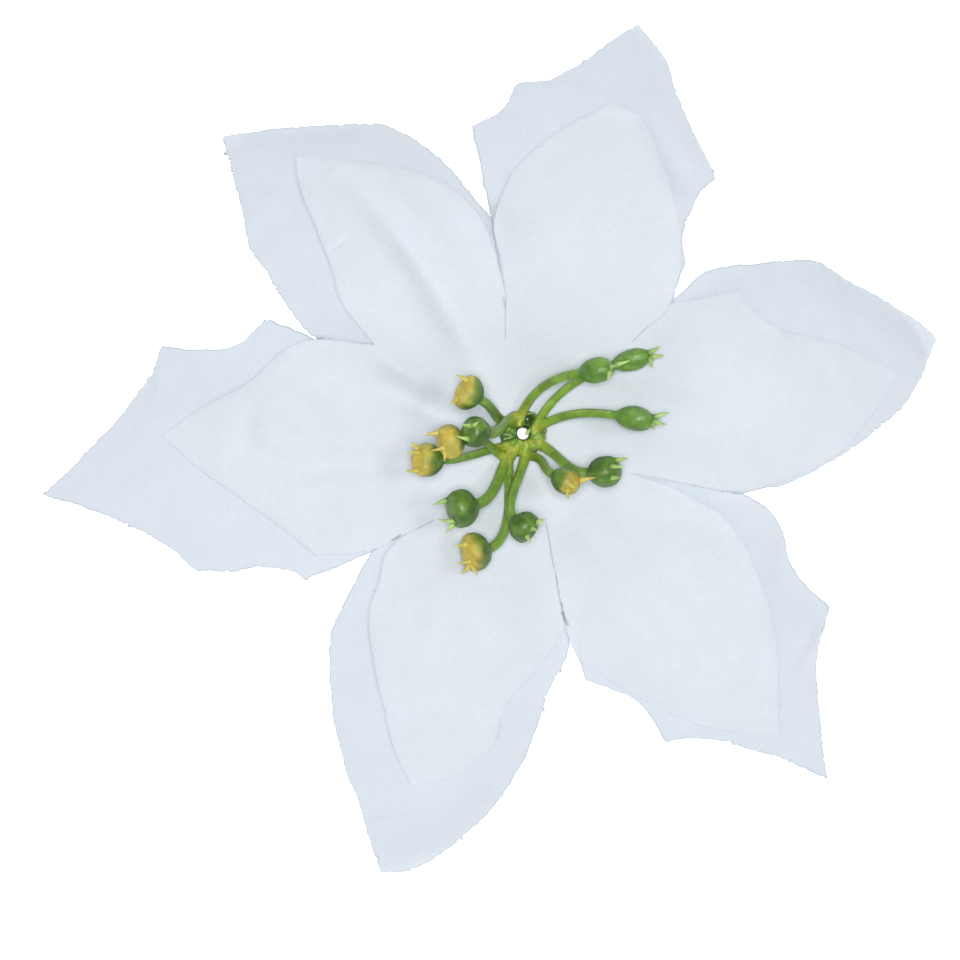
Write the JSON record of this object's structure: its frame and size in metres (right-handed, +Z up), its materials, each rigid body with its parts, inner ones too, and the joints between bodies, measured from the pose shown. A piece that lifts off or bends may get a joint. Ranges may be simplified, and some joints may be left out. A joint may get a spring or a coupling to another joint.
{
  "type": "artificial poinsettia flower head",
  "caption": "Artificial poinsettia flower head: stacked lobed rosettes of white cloth around a green moulded spray of berry-tipped stamens, clamped from below by a calyx collar.",
  "frame": {"origin": "on the surface the head rests on, under the middle of the outer rosette's outline; the hub's axis stands at x 7.5 mm, y 3.25 mm", "axes": "+Z up, out of the face of the flower; +X to the right and +Y away as the picture shows it from above"},
  "size_m": [0.2012, 0.1908, 0.0467],
  "materials": {
    "outer_cloth": "white woven polyester, matt",
    "inner_cloth": "white woven polyester, matt",
    "spray_green": "satin polyethylene, yellow painted tips",
    "collar_green": "satin polyethylene"
  },
  "bodies": {
    "root": {"outer_bract_sheet": "outer_cloth", "inner_bract_sheet": "inner_cloth", "stamen_spray": "spray_green", "calyx_collar": "collar_green"}
  },
  "joints": []
}
